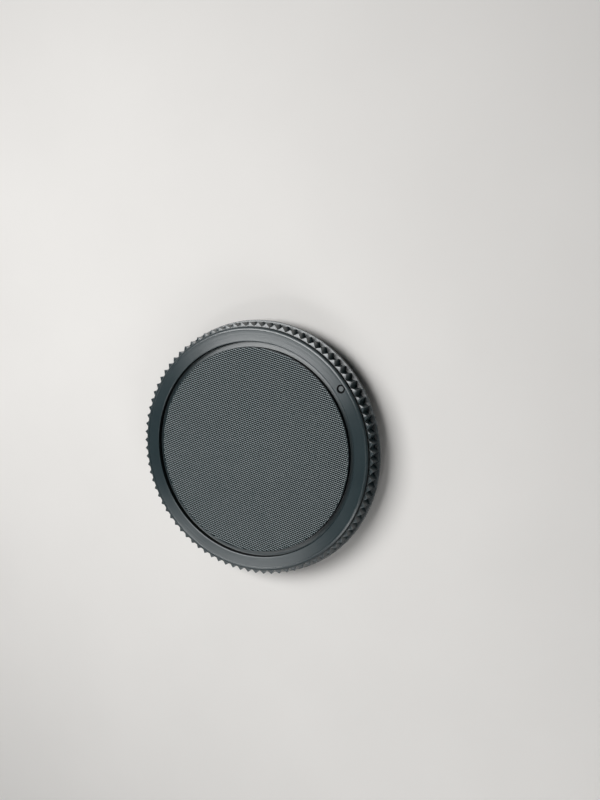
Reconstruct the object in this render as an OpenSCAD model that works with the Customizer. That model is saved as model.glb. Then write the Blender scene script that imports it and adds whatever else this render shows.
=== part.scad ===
// Camera body cap: the moulded cover that closes a bayonet mount while no lens is on it.
//
// One moulded piece. The front carries a flat disc inside an annular groove, then a shallow
// dished ring with a rounded lip, a band of grip teeth and a thin back flange. Behind the
// flange stands the bayonet collar, a short hollow tube with lugs around it.
//
// Frame: the cap lies face up on the free edge of its bayonet collar. Z is the cap's own axis
// and points out of its front. X and Y lie in its plane. The origin is on the axis, at the
// level that the collar rests on.

/* [Front disc] */
// Diameter of the flat disc in the middle of the front
disc_d = 54.3; // [50:0.1:55]
// Height of the disc above the floor of the groove around it
disc_rise = 1.45; // [0.8:0.05:1.8]
// Radius on the disc's outer edge
disc_edge_r = 0.12; // [0.05:0.01:0.3]

/* [Groove] */
// Clear width of the annular groove between the disc and the ring
groove_w = 1.4; // [0.8:0.05:1.8]
// How far the disc stands above the ring's inner edge
disc_stand = 0.15; // [0:0.05:0.6]

/* [Dished ring] */
// Diameter of the ring over its outer wall
ring_d = 64.8; // [63:0.1:66.4]
// Radius on the ring's inner edge
ring_edge_r = 0.2; // [0.05:0.01:0.35]
// Width of the lip along the ring's outer edge
lip_w = 0.9; // [0.9:0.05:1.3]
// Height of the lip's crown above the ring's inner edge
lip_rise = 0.55; // [0.3:0.05:0.9]
// Height of the lip's crown above the edge of the dish beside it
lip_stand = 0.12; // [0.05:0.01:0.15]
// Large radius that rounds the lip down to the ring's outer wall
lip_edge_r = 0.75; // [0.3:0.01:0.75]
// How far the dish sags below a straight line between its two edges
dish_sag = 0.12; // [0.02:0.01:0.25]

/* [Grip teeth] */
// Number of grip teeth around the rim
tooth_count = 90; // [60:1:120]
// Diameter over the tips of the teeth
tip_d = 67; // [66.6:0.1:67.6]
// Depth of the notches between the teeth
notch_depth = 1.05; // [0.4:0.05:1.2]
// Width of the narrow flat along each tip
tip_flat = 0.12; // [0.05:0.01:0.3]
// Length of the teeth along the cap's axis
tooth_len = 3.5; // [2.5:0.1:4.5]
// How far the front of the teeth lies below the ring's inner edge
tooth_drop = 0.6; // [0.4:0.05:1]
// Angle of the first tooth from +X
tooth_turn = 3.5; // [0:0.1:4]

/* [Back flange] */
// Diameter of the thin flange behind the teeth
flange_d = 67.8; // [67.6:0.1:69]
// Thickness of that flange
flange_t = 0.7; // [0.5:0.05:1.2]
// Radius on the flange's outer edges
flange_edge_r = 0.12; // [0.05:0.01:0.2]

/* [Index mark] */
// Angle of the mark from +X
mark_turn = 35.5; // [0:0.5:90]
// Outer diameter of the mark's ring-shaped recess
mark_d = 2.2; // [1.5:0.1:2.8]
// Diameter of the dot left standing inside it
mark_dot_d = 1.3; // [0.8:0.1:1.4]
// Depth of the recess
mark_depth = 0.35; // [0.2:0.05:0.5]

/* [Back of the cap] */
// Diameter inside the rim's wall, around the recess behind the ring
rim_bore_d = 57.6; // [55:0.1:59]
// Thickness of the plate behind the groove
plate_t = 1.5; // [1:0.1:2]

/* [Bayonet collar] */
// Outer diameter of the collar
collar_d = 50.8; // [48:0.1:51.5]
// Thickness of the collar's wall
collar_wall = 1.6; // [1.2:0.1:2.5]
// How far the collar stands out behind the rim's seat
collar_len = 4.6; // [4:0.1:7]
// Radius on the collar's free edges
collar_edge_r = 0.3; // [0.1:0.05:0.5]

/* [Bayonet lugs] */
// Number of bayonet lugs
lug_count = 3; // [3:1:4]
// Diameter over the lugs
lug_d = 53.6; // [52:0.1:54]
// Thickness of a lug along the axis
lug_t = 1.4; // [1:0.1:1.6]
// Distance from the rim's seat to the near face of the lugs
lug_gap = 2.2; // [1.8:0.1:2.4]
// Angle that a lug spans
lug_span = 55; // [40:1:60]
// Angle of the first lug's middle from +X
lug_turn = 90; // [0:1:120]
// Width of the stop that ends the twist
stop_w = 1.8; // [1:0.1:3]
// How far the stop's face stays inside the diameter over the lugs
stop_inset = 0.5; // [0.2:0.1:0.8]

/* [Hidden] */
$fn = 180;
EPS = 0.01;

// Radii, from the middle of the cap outwards
disc_r = disc_d / 2;
ring_in_r = disc_r + groove_w;
ring_r = ring_d / 2;
lip_in_r = ring_r - lip_w;
tip_r = tip_d / 2;
root_r = tip_r - notch_depth;
flange_r = flange_d / 2;
rim_bore_r = rim_bore_d / 2;
collar_r = collar_d / 2;
collar_in_r = collar_r - collar_wall;
collar_mid_r = collar_r - collar_wall / 2;
lug_r = lug_d / 2;

// Heights above the level that the collar rests on
seat_z = collar_len;
flange_z = seat_z + flange_t;
teeth_z = flange_z + tooth_len;
ring_z = teeth_z + tooth_drop;
lip_z = ring_z + lip_rise;
dish_z = lip_z - lip_stand;
disc_z = ring_z + disc_stand;
groove_z = disc_z - disc_rise;
plate_z = groove_z - plate_t;
lug_z = seat_z - lug_gap - lug_t;

// The dish is an arc over a chord from the ring's inner edge to the foot of the lip
dish_run = [lip_in_r - ring_in_r, dish_z - ring_z];
dish_chord = norm(dish_run);
dish_mid = [ring_in_r, ring_z] + dish_run / 2;
dish_r = (dish_chord * dish_chord / 4 + dish_sag * dish_sag) / (2 * dish_sag);
dish_up = [-dish_run.y, dish_run.x] / dish_chord;
dish_centre = dish_mid + dish_up * (dish_r - dish_sag);

// The index mark sits halfway across the ring
mark_r = (ring_in_r + ring_r) / 2;
mark_z = dish_mid.y - dish_sag - mark_depth;

// Tooth angles
tooth_step = 360 / tooth_count;
tip_half = asin(tip_flat / 2 / tip_r);
lug_step = 360 / lug_count;

// What a rounded corner takes off: the corner is at (x, z) and points along sx and sz
module corner(x, z, sx, sz, r) {
    difference() {
        translate([sx > 0 ? x - r : x - EPS, sz > 0 ? z - r : z - EPS]) square(r + EPS);
        translate([x - sx * r, z - sz * r]) circle(r = r);
    }
}

// Rectangle between two radii and two heights
module band(r0, r1, z0, z1) {
    translate([r0, z0]) square([r1 - r0, z1 - z0]);
}

// Half section of the middle disc and the plate behind it
module disc_section() {
    difference() {
        union() {
            band(0, ring_r, plate_z, groove_z);
            band(0, disc_r, plate_z, disc_z);
        }
        corner(disc_r, disc_z, 1, 1, disc_edge_r);
    }
}

// Half section of the rim under the ring, with the dish and the lip on top
module rim_section() {
    difference() {
        union() {
            band(rim_bore_r, ring_r, seat_z, groove_z);
            band(ring_in_r, ring_r, plate_z, ring_z);
            polygon([[ring_in_r, plate_z], [ring_in_r, ring_z], [lip_in_r, dish_z],
                     [lip_in_r, plate_z]]);
            band(lip_in_r, ring_r, plate_z, lip_z);
        }
        intersection() {
            translate(dish_centre) circle(r = dish_r);
            band(disc_r, lip_in_r, plate_z, lip_z + EPS);
        }
        corner(ring_in_r, ring_z, -1, 1, ring_edge_r);
        corner(lip_in_r, lip_z, -1, 1, lip_stand);
        corner(ring_r, lip_z, 1, 1, lip_edge_r);
    }
}

// Half section of the thin flange behind the teeth
module flange_section() {
    difference() {
        band(rim_bore_r, flange_r, seat_z, flange_z);
        corner(flange_r, flange_z, 1, 1, flange_edge_r);
        corner(flange_r, seat_z, 1, -1, flange_edge_r);
    }
}

// Half section of the bayonet collar
module collar_section() {
    difference() {
        band(collar_in_r, collar_r, 0, plate_z + plate_t / 2);
        corner(collar_r, 0, 1, -1, collar_edge_r);
        corner(collar_in_r, 0, -1, -1, collar_edge_r);
    }
}

// Outline of the toothed band: two points across each tip, then one at the notch's root
module tooth_outline() {
    corners = [[tip_r, -tip_half], [tip_r, tip_half], [root_r, tooth_step / 2]];
    polygon([for (i = [0:tooth_count - 1], c = corners)
        let (a = tooth_turn + i * tooth_step + c[1]) c[0] * [cos(a), sin(a)]]);
}

// Band of straight V-cut teeth, sunk halfway into the flange and open to the rim's bore
module grip_teeth() {
    translate([0, 0, seat_z + flange_t / 2]) linear_extrude(tooth_len + flange_t / 2) difference() {
        tooth_outline();
        circle(r = (rim_bore_r + ring_r) / 2);
    }
}

// Ring-shaped recess that leaves a dot standing, cut straight down into the dish
module index_mark() {
    rotate(mark_turn) translate([mark_r, 0, mark_z]) difference() {
        cylinder(h = lip_z, d = mark_d);
        translate([0, 0, -EPS]) cylinder(h = lip_z + 2 * EPS, d = mark_dot_d);
    }
}

// One bayonet lug, a sector of a ring that grows out of the collar
module lug() {
    rotate(-lug_span / 2) rotate_extrude(angle = lug_span)
        band(collar_mid_r, lug_r, lug_z, lug_z + lug_t);
}

// Stop between the first lug and the seat, at the lug's trailing end
module twist_stop() {
    rotate(lug_turn - lug_span / 2)
        translate([collar_mid_r, 0, lug_z + lug_t / 2])
            cube([lug_r - stop_inset - collar_mid_r, stop_w, lug_gap + lug_t / 2]);
}

// The whole moulding
module body_cap() {
    color("#2b3234") difference() {
        union() {
            rotate_extrude() union() {
                disc_section();
                rim_section();
                flange_section();
                collar_section();
            }
            grip_teeth();
            for (i = [0:lug_count - 1]) rotate(lug_turn + i * lug_step) lug();
            twist_stop();
        }
        index_mark();
    }
}

body_cap();
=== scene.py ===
# %% [markdown]
# # Camera body cap
#
# A body cap is a single black plastic moulding. Its front has a finely textured disc, a smooth
# dished ring around it and a rim of small grip teeth. Behind, a short bayonet collar with three
# lugs locks it in place. The cap lies face up on the edge of that collar.
#
# Almost every form on it is round or repeats around one axis. So the shape grows from one idea:
# draw half of the section once, turn it through the width of one tooth, and repeat that slice.

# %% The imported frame
from math import atan2, cos, degrees, hypot, pi, radians, sin, tan

import bmesh
import bpy
from mathutils import Matrix, Vector


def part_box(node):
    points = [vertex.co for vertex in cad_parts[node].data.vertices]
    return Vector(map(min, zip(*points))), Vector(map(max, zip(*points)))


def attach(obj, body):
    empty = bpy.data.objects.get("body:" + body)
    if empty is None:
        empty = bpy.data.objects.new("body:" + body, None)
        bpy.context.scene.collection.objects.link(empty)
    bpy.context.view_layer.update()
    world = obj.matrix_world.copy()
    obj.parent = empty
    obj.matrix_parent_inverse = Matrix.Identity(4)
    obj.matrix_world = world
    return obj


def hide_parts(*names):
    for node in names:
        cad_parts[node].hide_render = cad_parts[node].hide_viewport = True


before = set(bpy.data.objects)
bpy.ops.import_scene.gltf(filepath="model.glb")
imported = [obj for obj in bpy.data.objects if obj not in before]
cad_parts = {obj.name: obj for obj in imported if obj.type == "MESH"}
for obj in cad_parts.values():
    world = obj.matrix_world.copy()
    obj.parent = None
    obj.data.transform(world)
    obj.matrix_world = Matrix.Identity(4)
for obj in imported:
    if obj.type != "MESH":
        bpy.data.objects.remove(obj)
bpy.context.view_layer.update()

MM = 0.001
AXIS = (0, 0, 1)
CENTRE = (0, 0, 0)

# %% [markdown]
# ## Sizes
#
# The overall size comes from the frame: the flange is the widest part, and the lip's crown is
# the highest. The other radii and heights are those of the solid, in millimetres. Naming the
# corners of the section once keeps the disc, groove, ring and rim in step with each other.

# %% Radii and heights in millimetres
low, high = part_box("body_cap")
flange_r = (high[0] - low[0]) / 2 / MM
lip_z = high[2] / MM

disc_r = 27.15
ring_in_r = disc_r + 1.4
ring_r = 32.4
lip_in_r = ring_r - 0.9
tip_r = 33.5
root_r = tip_r - 1.05
rim_bore_r = 28.8
collar_r = 25.4
collar_in_r = collar_r - 1.6
lug_r = 26.8
stop_r = lug_r - 0.5

ring_z = lip_z - 0.55
dish_z = lip_z - 0.12
disc_z = ring_z + 0.15
groove_z = disc_z - 1.45
plate_z = groove_z - 1.5
teeth_z = ring_z - 0.6
flange_z = teeth_z - 3.5
seat_z = flange_z - 0.7
lug_top_z = seat_z - 2.2
lug_z = lug_top_z - 1.4
print("flange radius", round(flange_r, 2), "seat height", round(seat_z, 2))

# %% [markdown]
# ## The half section
#
# A moulded part has no perfectly sharp corner, and those tiny radii are what catch the light.
# The section is a list of corners, each with its own radius, and one function replaces each
# corner by an arc. The spin later turns these arcs into true round edges, so no bevel is needed
# on them. The dish between the ring's inner edge and the lip is one shallow arc.

# %% Rounding the corners of an outline
def rounded(corners):
    """Points along an outline of (r, z, radius), with an arc of that radius at each corner."""
    points = []
    for i, (r, z, radius) in enumerate(corners):
        here = Vector((r, z))
        steps = 10 if radius > 0.5 else 4
        if radius == 0:
            points.append(here)
            continue
        back = (Vector(corners[i - 1][:2]) - here).normalized()
        on = (Vector(corners[i + 1][:2]) - here).normalized()
        half = back.angle(on) / 2
        middle = here + (back + on).normalized() * radius / sin(half)
        start = here + back * radius / tan(half) - middle
        end = here + on * radius / tan(half) - middle
        for k in range(steps + 1):
            points.append(middle + start.slerp(end, k / steps).normalized() * radius)
    return points


def sagging(start, end, sag, steps=8):
    """Points of a shallow arc that sags below the line from start to end, without its ends."""
    start, end = Vector(start), Vector(end)
    run = end - start
    up = Vector((-run.y, run.x)).normalized()
    return [start + run * k / steps - up * sag * 4 * k * (steps - k) / steps**2 for k in range(1, steps)]


# %% The section, from the middle of the front, over the rim, to the middle of the back
TEXTURE_R = disc_r - 0.1
SHOULDER = 0.25
DISH_SAG = 0.03

front = [(0, disc_z - 0.6, 0), (TEXTURE_R, disc_z - 0.6, 0), (TEXTURE_R, disc_z, 0),
         (disc_r, disc_z, 0.08), (disc_r, groove_z, 0.1), (ring_in_r, groove_z, 0.1),
         (ring_in_r, ring_z + SHOULDER, 0.25)]
dish = [(p.x, p.y, 0) for p in sagging((ring_in_r, ring_z + SHOULDER), (lip_in_r, dish_z),
                                       DISH_SAG)]
lip = [(lip_in_r, dish_z, 0.04), (lip_in_r, lip_z, 0.08), (ring_r, lip_z, 0.75)]
teeth = [(ring_r, teeth_z, 0), (root_r, teeth_z, 0), (root_r, flange_z, 0)]
back = [(flange_r, flange_z, 0.12), (flange_r, seat_z, 0.12), (rim_bore_r, seat_z, 0.15),
        (rim_bore_r, plate_z, 0.3), (collar_r, plate_z, 0.3), (collar_r, seat_z, 0),
        (collar_r, lug_top_z, 0), (collar_r, lug_z, 0), (collar_r, 0, 0.3),
        (collar_in_r, 0, 0.3), (collar_in_r, plate_z, 0.5), (0, plate_z, 0)]
section = rounded(front + dish + lip + teeth + back)
print("points in the half section:", len(section))

# %% [markdown]
# ## One slice of the cap
#
# The rim has ninety teeth, so one slice is four degrees wide. Spinning the section through four
# steps gives five columns of points. On the toothed band the middle column moves out to the
# tip, the two beside it move onto the straight flank, and the outer ones stay at the root.
# The rest of the slice isn't touched, and so stays round.

# %% Spin one slice and pull out its tooth
TOOTH_COUNT = 90
TOOTH_TURN = radians(3.5)
tooth_step = 2 * pi / TOOTH_COUNT
COLUMNS = 4


def turned(r, z, angle):
    """A point in metres from a radius and height in millimetres and an angle about the axis."""
    return Vector((r * cos(angle), r * sin(angle), z)) * MM


def spun_slice(points, middle, width, columns):
    """A bmesh with the outline turned about the axis through one slice."""
    bm = bmesh.new()
    verts = [bm.verts.new(turned(p.x, p.y, middle - width / 2)) for p in points]
    edges = [bm.edges.new(pair) for pair in zip(verts, verts[1:])]
    bmesh.ops.spin(bm, geom=verts + edges, cent=CENTRE, axis=AXIS, angle=width, steps=columns)
    return bm


def polar(co):
    """Radius and height in millimetres and angle of a point in metres."""
    return hypot(co.x, co.y) / MM, co.z / MM, atan2(co.y, co.x)


def flank_radius(turn):
    """Radius of the straight flank, a turn away from the tooth's middle."""
    half = tooth_step / 2
    return tip_r * root_r * sin(half) / (tip_r * sin(turn) + root_r * sin(half - turn))


def near(a, b, gap=0.02):
    """True where two lengths in millimetres are the same but for rounding."""
    return abs(a - b) < gap


cap = spun_slice(section, TOOTH_TURN, tooth_step, COLUMNS)
for v in cap.verts:
    r, z, angle = polar(v.co)
    if near(r, root_r) and (near(z, teeth_z) or near(z, flange_z)):
        v.co = turned(flank_radius(abs(angle - TOOTH_TURN)), z, angle)
print("points in one slice:", len(cap.verts))

# %% [markdown]
# ## Ninety slices make the cap
#
# Spin can also copy what it turns. Eighty-nine more copies of the slice close the circle, and
# merging the doubles joins each slice to its neighbours and closes the middle. The ridges, the
# roots and the front outline of the teeth then get a fine bevel, because on the real cap each
# ridge shows as a thin bright line.

# %% Repeat the slice and merge
MERGE = 0.002 * MM
bmesh.ops.spin(cap, geom=cap.verts[:] + cap.edges[:] + cap.faces[:], cent=CENTRE, axis=AXIS,
               angle=tooth_step * (TOOTH_COUNT - 1), steps=TOOTH_COUNT - 1, use_duplicate=True)
bmesh.ops.remove_doubles(cap, verts=cap.verts, dist=MERGE)
bmesh.ops.recalc_face_normals(cap, faces=cap.faces)
print("faces after the repeat:", len(cap.faces), "open edges:", sum(e.is_boundary for e in cap.edges))

# %% Bevel the teeth
TOOTH_ROUND = 0.07


def is_tooth_edge(edge):
    """True for a ridge, a root or the front outline of a tooth."""
    ends = [polar(v.co) for v in edge.verts]
    if not all(root_r - 0.01 < r < tip_r + 0.01 and flange_z - 0.01 < z < teeth_z + 0.01
               for r, z, _ in ends):
        return False
    if all(near(z, teeth_z) for _, z, _ in ends):
        return True
    upright = not near(ends[0][1], ends[1][1])
    return upright and (near(ends[0][0], tip_r) or near(ends[0][0], root_r))


bmesh.ops.bevel(cap, geom=[e for e in cap.edges if is_tooth_edge(e)], offset=TOOTH_ROUND * MM,
                offset_type="OFFSET", segments=2, profile=0.5, affect="EDGES", material=-1,
                clamp_overlap=True)
print("faces after the bevel:", len(cap.faces))

# %% [markdown]
# ## Lugs and the stop
#
# The three bayonet lugs grow straight out of the collar, so they are extruded from the collar's
# own wall instead of being laid on it. The wall already has a row of faces at the lugs' height.
# The first extrusion carries the lugs and the small stop out together, and the second takes the
# lugs alone to their full radius.

# %% Extrude the lugs from the collar
LUG_MIDDLES = [radians(90 + 120 * k) for k in range(3)]
LUG_SPAN = radians(55)
STOP_SPAN = radians(4)
LUG_ROUND = 0.15


def turn_between(a, b):
    """Signed angle from b to a, between minus and plus half a turn."""
    return (a - b + pi) % (2 * pi) - pi


def grows(face, bottom, top, turns):
    """True for a face of the collar's outer wall between two heights and within these turns."""
    r, z, angle = polar(face.calc_center_median())
    return bottom < z < top and any(a < turn_between(angle, m) < b for m, a, b in turns)


def pushed_out(bm, faces, r_from, r_to):
    """Extrudes faces of a round wall outwards, and returns the new outer faces."""
    grown = bmesh.ops.extrude_face_region(bm, geom=faces)["geom"]
    bmesh.ops.delete(bm, geom=faces, context="FACES")
    verts = [g for g in grown if isinstance(g, bmesh.types.BMVert)]
    bmesh.ops.scale(bm, vec=(r_to / r_from, r_to / r_from, 1), verts=verts)
    return [g for g in grown if isinstance(g, bmesh.types.BMFace)
            and near(hypot(*g.calc_center_median().xy) / MM, r_to)]


lug_turns = [(m, -LUG_SPAN / 2, LUG_SPAN / 2) for m in LUG_MIDDLES]
stop_turns = [(LUG_MIDDLES[0], -LUG_SPAN / 2, -LUG_SPAN / 2 + STOP_SPAN)]
wall = [f for f in cap.faces if near(hypot(*f.calc_center_median().xy) / MM, collar_r)]
roots = [f for f in wall if grows(f, lug_z, lug_top_z, lug_turns)
         or grows(f, lug_top_z, seat_z, stop_turns)]
stage_one = pushed_out(cap, roots, collar_r, stop_r)
lugs_only = [f for f in stage_one if grows(f, lug_z, lug_top_z, lug_turns)]
lug_faces = pushed_out(cap, lugs_only, stop_r, lug_r)
lug_edges = [e for e in {e for f in lug_faces for e in f.edges}
             if not all(f in lug_faces for f in e.link_faces)]
bmesh.ops.bevel(cap, geom=lug_edges, offset=LUG_ROUND * MM, offset_type="OFFSET", segments=2,
                profile=0.5, affect="EDGES", material=-1, clamp_overlap=True)
print("collar faces grown:", len(roots), "lug faces:", len(lug_faces),
      "open edges:", sum(e.is_boundary for e in cap.edges))

# %% [markdown]
# ## The index mark
#
# A small ring-shaped recess with a dot standing in it shows how to line the cap up. Cutting the
# dished surface with thirty-two upright planes marks a circle on it without bending it. The
# faces inside go, and the hole's edge is extruded down, inwards and up again, and closed.

# %% Cut the index mark
MARK_TURN = radians(35.5)
mark_centre = turned((ring_in_r + ring_r) / 2, ring_z, MARK_TURN)
MARK_R = 1.1
MARK_DOT_R = 0.65
MARK_DEPTH = 0.35
MARK_SIDES = 32


def from_mark(co):
    """Distance in millimetres from the mark's axis."""
    return (co - mark_centre).xy.length / MM


def inside_mark(face):
    """True for a face on the inner side of every plane around the mark."""
    offset = face.calc_center_median() - mark_centre
    return all(offset.dot(side) < MARK_R * MM for side in mark_sides)


mark_sides = [Vector((cos(2 * pi * k / MARK_SIDES), sin(2 * pi * k / MARK_SIDES), 0))
              for k in range(MARK_SIDES)]
faces = [f for f in cap.faces if from_mark(f.calc_center_median()) < MARK_R + 0.8
         and f.calc_center_median().z / MM > ring_z - 0.1]
patch = list({g for f in faces for g in [f, *f.edges, *f.verts]})
for side in mark_sides:
    patch = bmesh.ops.bisect_plane(cap, geom=patch, dist=1e-9, plane_no=side,
                                   plane_co=mark_centre + side * MARK_R * MM)["geom"]
inside = [g for g in patch if isinstance(g, bmesh.types.BMFace) and inside_mark(g)]
bmesh.ops.delete(cap, geom=inside, context="FACES")
rim_edges = [e for e in cap.edges if e.is_boundary]
print("faces cut out:", len(inside), "edges around the hole:", len(rim_edges))


def extruded(bm, edges, drop=0.0, shrink=1.0):
    """Extrudes a loop of edges, then shrinks the new loop about its middle and lowers it."""
    new = bmesh.ops.extrude_edge_only(bm, edges=edges)["geom"]
    verts = [g for g in new if isinstance(g, bmesh.types.BMVert)]
    middle = sum((v.co for v in verts), Vector()) / len(verts)
    bmesh.ops.scale(bm, vec=[shrink] * 3, verts=verts, space=Matrix.Translation(-middle))
    bmesh.ops.translate(bm, vec=(0, 0, -drop * MM), verts=verts)
    return [g for g in new if isinstance(g, bmesh.types.BMEdge) and all(v in verts for v in g.verts)]


floor_edges = extruded(cap, rim_edges, drop=MARK_DEPTH)
dot_foot = extruded(cap, floor_edges, shrink=MARK_DOT_R / MARK_R)
dot_top = extruded(cap, dot_foot, drop=-MARK_DEPTH)
dot_verts = list({v for e in dot_top for v in e.verts})
dot_middle = sum((v.co for v in dot_verts), Vector()) / len(dot_verts)
bmesh.ops.scale(cap, vec=(1, 1, 0), verts=dot_verts, space=Matrix.Translation(-dot_middle))
bmesh.ops.holes_fill(cap, edges=dot_top, sides=0)
bmesh.ops.bevel(cap, geom=rim_edges + dot_top, offset=0.08 * MM, offset_type="OFFSET", segments=2,
                profile=0.5, affect="EDGES", material=-1, clamp_overlap=True)
print("open edges:", sum(e.is_boundary for e in cap.edges))

# %% [markdown]
# ## From bmesh to object
#
# Each piece's object stays at the origin, and its place is in its mesh, as for the solid that it
# stands for. Smooth shading alone would bend the light across flat faces beside an edge, so
# edges sharper than thirty degrees stay crisp and a Weighted Normal modifier lets the large
# faces decide.

# %% A function that finishes a piece
SHARP = radians(30)


def finished(bm, name, *materials):
    """Turns a bmesh into an object with crisp edges that rides on the cap's body."""
    bmesh.ops.recalc_face_normals(bm, faces=bm.faces)
    for face in bm.faces:
        face.smooth = True
    for edge in bm.edges:
        edge.smooth = len(edge.link_faces) == 2 and edge.calc_face_angle() < SHARP
    mesh = bpy.data.meshes.new(name)
    bm.to_mesh(mesh)
    bm.free()
    piece = bpy.data.objects.new(name, mesh)
    bpy.context.scene.collection.objects.link(piece)
    for material in materials:
        piece.data.materials.append(material)
    weighted = piece.modifiers.new("flat faces lead", "WEIGHTED_NORMAL")
    weighted.keep_sharp = True
    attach(piece, "root")
    print(name, "has", sum(len(p.vertices) - 2 for p in mesh.polygons), "triangles")
    return piece


# %% [markdown]
# ## The textured disc
#
# The disc's fine grain is a square lattice of tiny raised points at about half a millimetre, cut
# into the mould. Real geometry shows it better than a bump map, because each point throws its
# own glint and shadow. A grid gives the cells, an inset raises each one, and a poke gives it a
# rounded top. Cells that cross the disc's edge go, and the outline is pulled onto a circle.

# %% Build the lattice of points
POINT_PITCH = 0.508
POINT_TURN = radians(-15.1)
POINT_HEIGHT = 0.16
ROW_GAP = 0.16
POINT_STRETCH = 2.6
valley_z = disc_z - POINT_HEIGHT

cells = int(2 * TEXTURE_R / POINT_PITCH) + 2
grain = bmesh.new()
bmesh.ops.create_grid(grain, x_segments=cells, y_segments=cells, size=cells * POINT_PITCH * MM / 2,
                      matrix=Matrix.Translation((0, 0, valley_z * MM)))
bmesh.ops.rotate(grain, cent=CENTRE, matrix=Matrix.Rotation(POINT_TURN, 3, "Z"), verts=grain.verts)
over = [f for f in grain.faces if f.calc_center_median().xy.length / MM > TEXTURE_R]
bmesh.ops.delete(grain, geom=over, context="FACES")
print("cells across:", cells, "cell width in mm:", round(grain.edges[:][0].calc_length() / MM, 3),
      "points kept:", len(grain.faces))

# %% Raise each point and round its top
into_rows = Matrix.Rotation(-POINT_TURN, 4, "Z")
bmesh.ops.scale(grain, vec=(POINT_STRETCH, 1, 1), verts=grain.verts, space=into_rows)
bmesh.ops.inset_individual(grain, faces=grain.faces, thickness=ROW_GAP * MM,
                           depth=POINT_HEIGHT * 0.75 * MM, use_even_offset=True)
bmesh.ops.scale(grain, vec=(1 / POINT_STRETCH, 1, 1), verts=grain.verts, space=into_rows)
tops = [f for f in grain.faces if f.calc_center_median().z / MM > valley_z + POINT_HEIGHT * 0.7]
bmesh.ops.poke(grain, faces=tops, offset=POINT_HEIGHT * 0.25 * MM)
print("raised tops:", len(tops))

# %% Pull the outline onto a circle and close it underneath
outline = [e for e in grain.edges if e.is_boundary]
rim = {v for e in outline for v in e.verts}
for v in grain.verts:
    if v in rim:
        v.co.xy = v.co.xy.normalized() * (TEXTURE_R + 0.02) * MM
    elif v.co.xy.length / MM > TEXTURE_R:
        v.co.xy = v.co.xy.normalized() * TEXTURE_R * MM
skirt = bmesh.ops.extrude_edge_only(grain, edges=outline)["geom"]
bmesh.ops.translate(grain, vec=(0, 0, -0.3 * MM),
                    verts=[g for g in skirt if isinstance(g, bmesh.types.BMVert)])
bmesh.ops.holes_fill(grain, edges=[e for e in grain.edges if e.is_boundary], sides=0)
print("open edges:", sum(e.is_boundary for e in grain.edges))

# %% [markdown]
# ## Colours and nodes
#
# Colours are written as the hex values that an eye or a picker reads, and the renderer wants
# linear light, so one function converts them. Another adds a node, sets its values and links its
# inputs, which keeps each material short enough to read.

# %% Two helpers for materials
def linear(hex_colour):
    """Linear RGBA from an sRGB hex value such as #30373a."""
    def channel(c):
        return c / 12.92 if c <= 0.04045 else ((c + 0.055) / 1.055) ** 2.4
    text = hex_colour.lstrip("#")
    return [channel(int(text[i:i + 2], 16) / 255) for i in (0, 2, 4)] + [1.0]


def add(tree, kind, inputs=None, **settings):
    """Adds a node, with its settings, and sets or links each of its inputs."""
    node = tree.nodes.new(kind)
    for key, value in settings.items():
        setattr(node, key, value)
    for key, value in (inputs or {}).items():
        if isinstance(value, bpy.types.NodeSocket):
            tree.links.new(value, node.inputs[key])
        else:
            node.inputs[key].default_value = value
    return node


def new_material(name):
    """An empty node material and its tree."""
    material = bpy.data.materials.new(name)
    material.use_nodes = True
    material.node_tree.nodes.clear()
    return material, material.node_tree


# %% [markdown]
# ## Moulded black ABS
#
# The cap is black ABS. It looks like a dark slate grey with a trace of green-blue, because the
# satin surface of the mould leaves the plastic finely matt, which scatters a little light. Two
# things break it up: clouds a few millimetres wide, where the plastic flowed, and a fine grain.
# The real grain is about 0.1 mm, too fine for the picture, so it is drawn at 0.45 mm.
#
# The mould for the ring and rim was turned. Its tool marks run around the axis. Most are far too
# fine to see, but they smear each reflection across the ring, which draws the bright arcs on it.
# An anisotropic gloss does the same, with a tangent that runs around the axis. The coarsest marks
# show as faint streaks, so a noise that changes with the radius gives those a shallow relief.

# %% One function for the plastic's finishes
GRAIN_MM = 0.45
CLOUD_MM = 7.0
ABS_IOR = 1.53
MARKS_MM = 0.45
MARKS_HEIGHT = 0.03
BURNISHED = 1.0


def tool_marks(tree, place):
    """A value that changes from one radius to the next, and only slowly around the axis."""
    flat = add(tree, "ShaderNodeVectorMath", {0: place, 1: (1, 1, 0)}, operation="MULTIPLY")
    around = add(tree, "ShaderNodeVectorMath", {0: flat.outputs["Vector"]}, operation="NORMALIZE")
    radius = add(tree, "ShaderNodeVectorMath", {0: flat.outputs["Vector"]}, operation="LENGTH")
    across = add(tree, "ShaderNodeMath", {0: radius.outputs["Value"], 1: 1 / (MARKS_MM * MM)},
                 operation="MULTIPLY")
    turn = add(tree, "ShaderNodeSeparateXYZ", {"Vector": around.outputs["Vector"]}).outputs
    track = add(tree, "ShaderNodeCombineXYZ", {"X": turn["X"], "Y": turn["Y"],
                                               "Z": across.outputs["Value"]})
    return add(tree, "ShaderNodeTexNoise", {"Vector": track.outputs["Vector"], "Scale": 1.0,
                                            "Detail": 2.0, "Roughness": 0.6}).outputs["Fac"]


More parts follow.
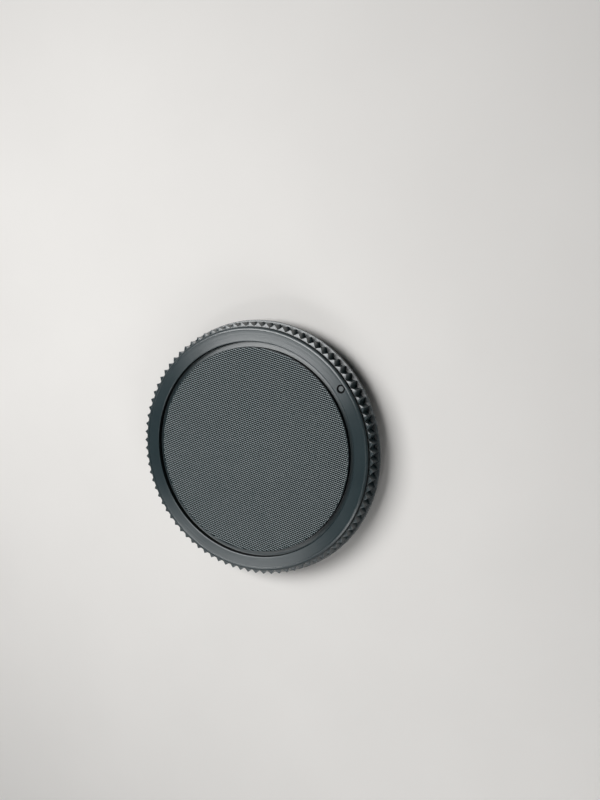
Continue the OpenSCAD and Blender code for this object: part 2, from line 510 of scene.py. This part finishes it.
def moulded_abs(name, dark, light, smooth, rough, relief_height, anisotropy=0.0):
    """Moulded black ABS: a colour and a gloss that drift, and a fine grain."""
    material, tree = new_material(name)
    place = add(tree, "ShaderNodeTexCoord").outputs["Object"]
    cloud = add(tree, "ShaderNodeTexNoise", {"Vector": place, "Scale": 1 / (CLOUD_MM * MM),
                                             "Detail": 3.0, "Roughness": 0.55})
    relief = add(tree, "ShaderNodeTexNoise", {"Vector": place, "Scale": 1 / (GRAIN_MM * MM),
                                              "Detail": 2.0, "Roughness": 0.6}).outputs["Fac"]
    if anisotropy:
        relief = tool_marks(tree, place)
    # Sockets 0, 6 and 7 of this node are its factor and its two colours
    colour = add(tree, "ShaderNodeMix", {0: cloud.outputs["Fac"], 6: linear(dark),
                                         7: linear(light)}, data_type="RGBA")
    gloss = add(tree, "ShaderNodeMapRange", {"Value": cloud.outputs["Fac"], "From Min": 0.3,
                                             "From Max": 0.7, "To Min": smooth, "To Max": rough})
    bump = add(tree, "ShaderNodeBump", {"Height": relief, "Strength": 1.0,
                                        "Distance": relief_height * MM})
    shader = add(tree, "ShaderNodeBsdfPrincipled", {
        "Base Color": colour.outputs[2], "Roughness": gloss.outputs["Result"], "IOR": ABS_IOR,
        "Normal": bump.outputs["Normal"]})
    if anisotropy:
        around = add(tree, "ShaderNodeTangent", direction_type="RADIAL", axis="Z")
        tree.links.new(around.outputs["Tangent"], shader.inputs["Tangent"])
        shader.inputs["Anisotropic"].default_value = anisotropy
        shader.inputs["Anisotropic Rotation"].default_value = 0.25
        shader.inputs["Specular IOR Level"].default_value = BURNISHED
    add(tree, "ShaderNodeOutputMaterial", {"Surface": shader.outputs["BSDF"]})
    return material, tree, shader


satin_abs, _, _ = moulded_abs("moulded ABS, satin", "#1f2d31", "#263539", 0.26, 0.32, 0.006)
turned_abs, _, _ = moulded_abs("moulded ABS, turned satin", "#1f2d31", "#263539", 0.30, 0.33,
                               MARKS_HEIGHT, anisotropy=0.85)

# %% [markdown]
# ## Painted shade and highlight on the points
#
# The light hardly gets between the points on the disc. So their colour goes by height from a
# near black valley, which is painted shade, to a pale top, which is a painted highlight. Their
# gloss also fades out in the valleys on the same ramp.

# %% Painted shade and highlight on the raised points
points_painted_light_abs, tree, shader = moulded_abs("moulded ABS, points with painted shade and highlight", "#080d0f", "#0b1113",
                                       0.42, 0.48, 0.0)
place = add(tree, "ShaderNodeTexCoord").outputs["Object"]
height = add(tree, "ShaderNodeSeparateXYZ", {"Vector": place}).outputs["Z"]
rise = add(tree, "ShaderNodeMapRange", {"Value": height, "From Min": (disc_z - 0.08) * MM,
                                        "From Max": (disc_z - 0.04) * MM})
tree.links.new(rise.outputs["Result"], shader.inputs["Specular IOR Level"])
# Painted shade is the near black valley colour, and the pale #5f6e71 on the tops is a painted highlight
valley = shader.inputs["Base Color"].links[0].from_socket
top = add(tree, "ShaderNodeMix", {0: rise.outputs["Result"], 6: valley, 7: linear("#5f6e71")},
          data_type="RGBA")
tree.links.new(top.outputs[2], shader.inputs["Base Color"])

# %% [markdown]
# ## Painted shade on the steep walls
#
# The steep walls are both walls of the groove, the lip's outer wall and the mark's narrow recess.
# They face away from the lamps, and what light reaches them is lost between them. So they get a
# deep, near black colour with little gloss, which is painted shade: it draws the thin black
# lines around each step.

# %% Painted shade on the steep walls and the mark's recess
walls_painted_shade_abs, tree, shader = moulded_abs("moulded ABS, painted shade on steep walls", "#06090a", "#090e0f",
                                       0.5, 0.6, 0.0)
shader.inputs["Specular IOR Level"].default_value = 0.1

# %% Make the objects, with the turned finish in the groove, on the dish and on the rim's front
cap.normal_update()
for face in cap.faces:
    middle = face.calc_center_median()
    r, z, _ = polar(middle)
    if face.normal.z > 0.7 and r > disc_r and z > flange_z - 0.05:
        face.material_index = 1
    # Material 2 is painted shade: near black on the mark's recess, the groove's walls and the lip's
    # outer wall
    in_recess = MARK_DOT_R - 0.04 < from_mark(middle) < MARK_R + 0.04 and z > ring_z - 1
    in_groove = disc_r - 0.1 < r < ring_in_r + 0.1 and z > groove_z
    under_lip = abs(r - ring_r) < 0.1 and z > teeth_z
    if in_recess or abs(face.normal.z) < 0.5 and (in_groove or under_lip):
        face.material_index = 2
moulding = finished(cap, "moulding", satin_abs, turned_abs, walls_painted_shade_abs)
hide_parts("body_cap")
disc_texture = finished(grain, "disc_texture", points_painted_light_abs)

# %% [markdown]
# ## Floor
#
# The floor is a plain pale sheet, wide enough to fill the picture. It lies just under the
# collar's edge, and it keeps the cap's soft shadow.

# %% The floor
floor_mesh = bmesh.new()
bmesh.ops.create_circle(floor_mesh, cap_ends=True, radius=2.5, segments=96)
bmesh.ops.translate(floor_mesh, vec=(0, 0, low[2] - 0.01 * MM), verts=floor_mesh.verts)
mesh = bpy.data.meshes.new("floor")
floor_mesh.to_mesh(mesh)
floor_mesh.free()
floor = bpy.data.objects.new("floor", mesh)
bpy.context.scene.collection.objects.link(floor)
paper, tree = new_material("matt paper sheet")
place = add(tree, "ShaderNodeTexCoord").outputs["Object"]
fibre = add(tree, "ShaderNodeTexNoise", {"Vector": place, "Scale": 1 / (40 * MM), "Detail": 4.0})
colour = add(tree, "ShaderNodeMix", {0: fibre.outputs["Fac"], 6: linear("#dedcd9"),
                                     7: linear("#e6e4e1")}, data_type="RGBA")
shader = add(tree, "ShaderNodeBsdfPrincipled", {"Base Color": colour.outputs[2],
                                                "Roughness": 0.9, "Specular IOR Level": 0.2})
add(tree, "ShaderNodeOutputMaterial", {"Surface": shader.outputs["BSDF"]})
floor.data.materials.append(paper)

# %% [markdown]
# ## Light
#
# Black plastic is drawn by what it reflects. A wide, low softbox above the picture's left gives
# the turned ring one of its bright arcs, a smaller one below the left gives the opposite arc,
# and a tall, weak strip lifts the near side. Each is placed by its direction as seen from the
# cap: how far it leans to the picture's right and up, where 1 would be level with the floor.
# Far, large lamps light every part of a small object from almost the same direction.

# %% Softboxes
LAMP_DISTANCE = 0.3


def facing(direction):
    """Rotation whose Z points along a direction, with Y up and X to the right of the picture."""
    rightwards = Vector((0, 1, 0)).cross(direction).normalized()
    return Matrix((rightwards, direction.cross(rightwards), direction)).transposed().to_4x4()


def softbox(name, x, y, width, height, radiance):
    """A rectangular lamp facing the cap, with place and size given as parts of its distance."""
    direction = Vector((x, y, (1 - x * x - y * y) ** 0.5))
    data = bpy.data.lights.new(name, "AREA")
    data.shape = "RECTANGLE"
    data.size = width * LAMP_DISTANCE
    data.size_y = height * LAMP_DISTANCE
    data.energy = radiance * pi * data.size * data.size_y
    lamp = bpy.data.objects.new(name, data)
    bpy.context.scene.collection.objects.link(lamp)
    lamp.matrix_world = Matrix.Translation(direction * LAMP_DISTANCE) @ facing(direction)
    print(name, "power in watts:", round(data.energy, 1))


softbox("upper softbox", -0.28, 0.27, 0.72, 0.44, 9.4)
softbox("lower softbox", -0.30, -0.50, 0.30, 0.14, 5.5)
softbox("strip softbox", 0.187, -0.449, 0.11, 0.996, 2.8)
softbox("right softbox", 0.50, -0.70, 0.40, 0.35, 4.0)

world = bpy.data.worlds.new("studio")
bpy.context.scene.world = world
world.use_nodes = True
world.node_tree.nodes.clear()
sky = add(world.node_tree, "ShaderNodeBackground", {"Color": linear("#f4f5f6"), "Strength": 0.02})
add(world.node_tree, "ShaderNodeOutputWorld", {"Surface": sky.outputs["Background"]})

# %% [markdown]
# ## Camera
#
# The camera looks down on the cap from the picture's right and a little from above the middle
# of its face. Direction, distance and focal length come from fitting the circles of the cap and
# the even pitch of its teeth, and the lens shift puts the cap where it stands in the picture.

# %% The camera
VIEW_RIGHT = radians(26.827)
VIEW_UP = radians(10.625)
VIEW_DISTANCE = 251.606
FOCAL_PX = 959.465
WIDTH_PX, HEIGHT_PX = 600, 800
CENTRE_X_PX, CENTRE_Y_PX = 251.813, 450.909
SENSOR = 36.0

towards = Vector((sin(VIEW_RIGHT) * cos(VIEW_UP), sin(VIEW_UP), cos(VIEW_RIGHT) * cos(VIEW_UP)))
target = Vector((0, 0, ring_z)) * MM
camera_data = bpy.data.cameras.new("camera")
camera_data.sensor_width = SENSOR
camera_data.lens = FOCAL_PX * SENSOR / HEIGHT_PX
camera_data.shift_x = (WIDTH_PX / 2 - CENTRE_X_PX) / HEIGHT_PX
camera_data.shift_y = (CENTRE_Y_PX - HEIGHT_PX / 2) / HEIGHT_PX
camera_data.clip_start = 0.01
camera = bpy.data.objects.new("camera", camera_data)
bpy.context.scene.collection.objects.link(camera)
camera.matrix_world = Matrix.Translation(target + towards * VIEW_DISTANCE * MM) @ facing(towards)
bpy.context.scene.camera = camera
bpy.context.scene.view_settings.view_transform = "Standard"
print("lens in mm:", round(camera_data.lens, 2))

bpy.context.view_layer.update()
